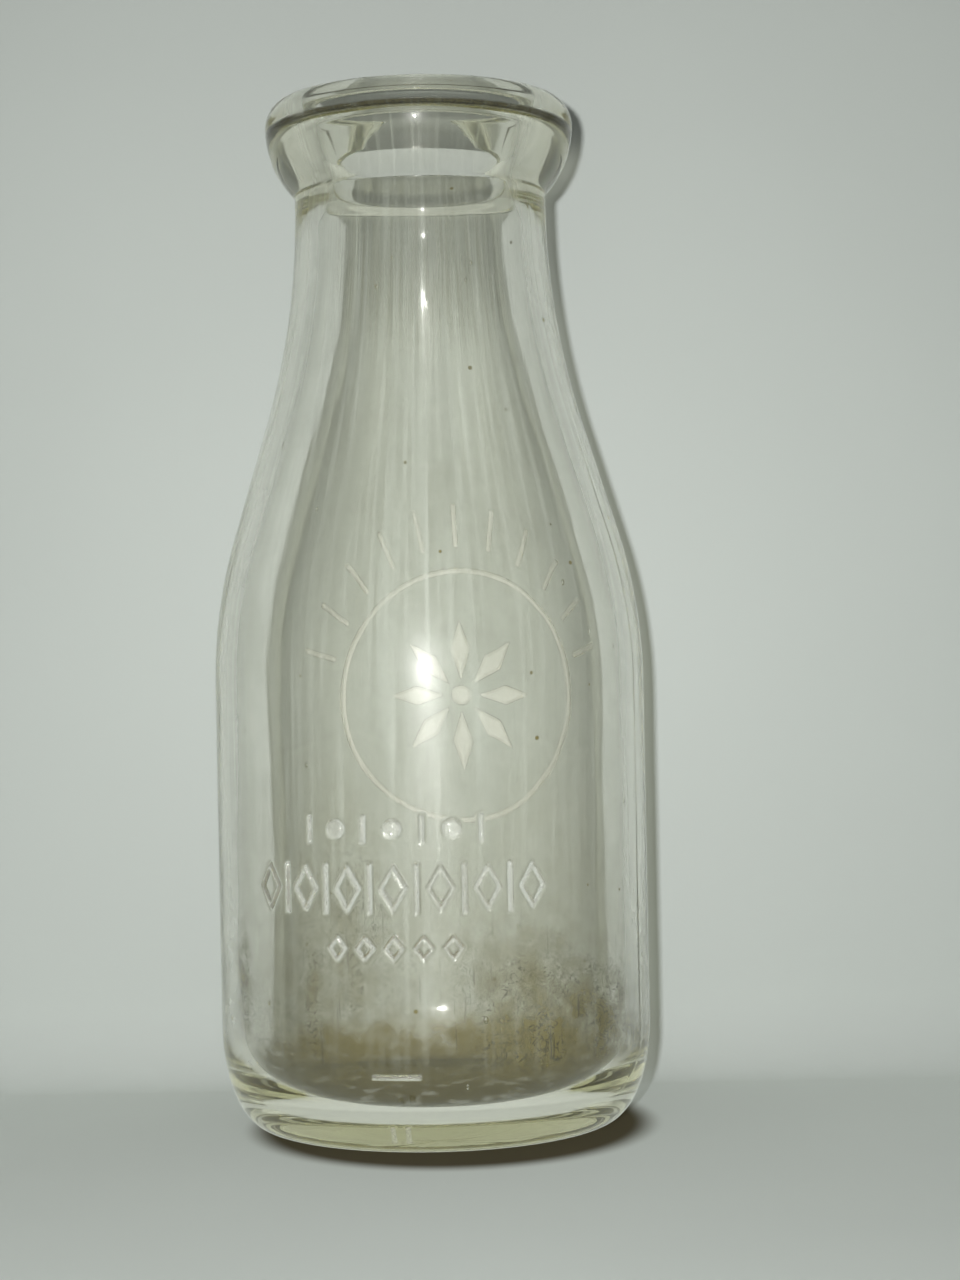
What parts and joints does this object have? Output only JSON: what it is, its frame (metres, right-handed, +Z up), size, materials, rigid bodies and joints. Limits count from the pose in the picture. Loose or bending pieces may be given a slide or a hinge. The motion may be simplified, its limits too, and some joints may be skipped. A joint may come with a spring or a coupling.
{
  "type": "glass milk bottle",
  "caption": "Round clear glass milk bottle with a rounded heel, sloping shoulder, narrow neck, heavy rolled lip, seat for a paper disc in the mouth and plain moulded relief.",
  "frame": {"origin": "centre of the underside, on the plane that the bottle stands on", "axes": "+Z up along the bottle's axis, -Y towards the side with the three rows of relief, +X to the right of that side"},
  "size_m": [0.0774, 0.0784, 0.1842],
  "materials": {
    "clear_glass": "clear pressed-and-blown glass with a faint yellow-green cast, fire-polished, with light haze and dried residue inside"
  },
  "bodies": {
    "root": {"bottle": "clear_glass"}
  },
  "joints": []
}
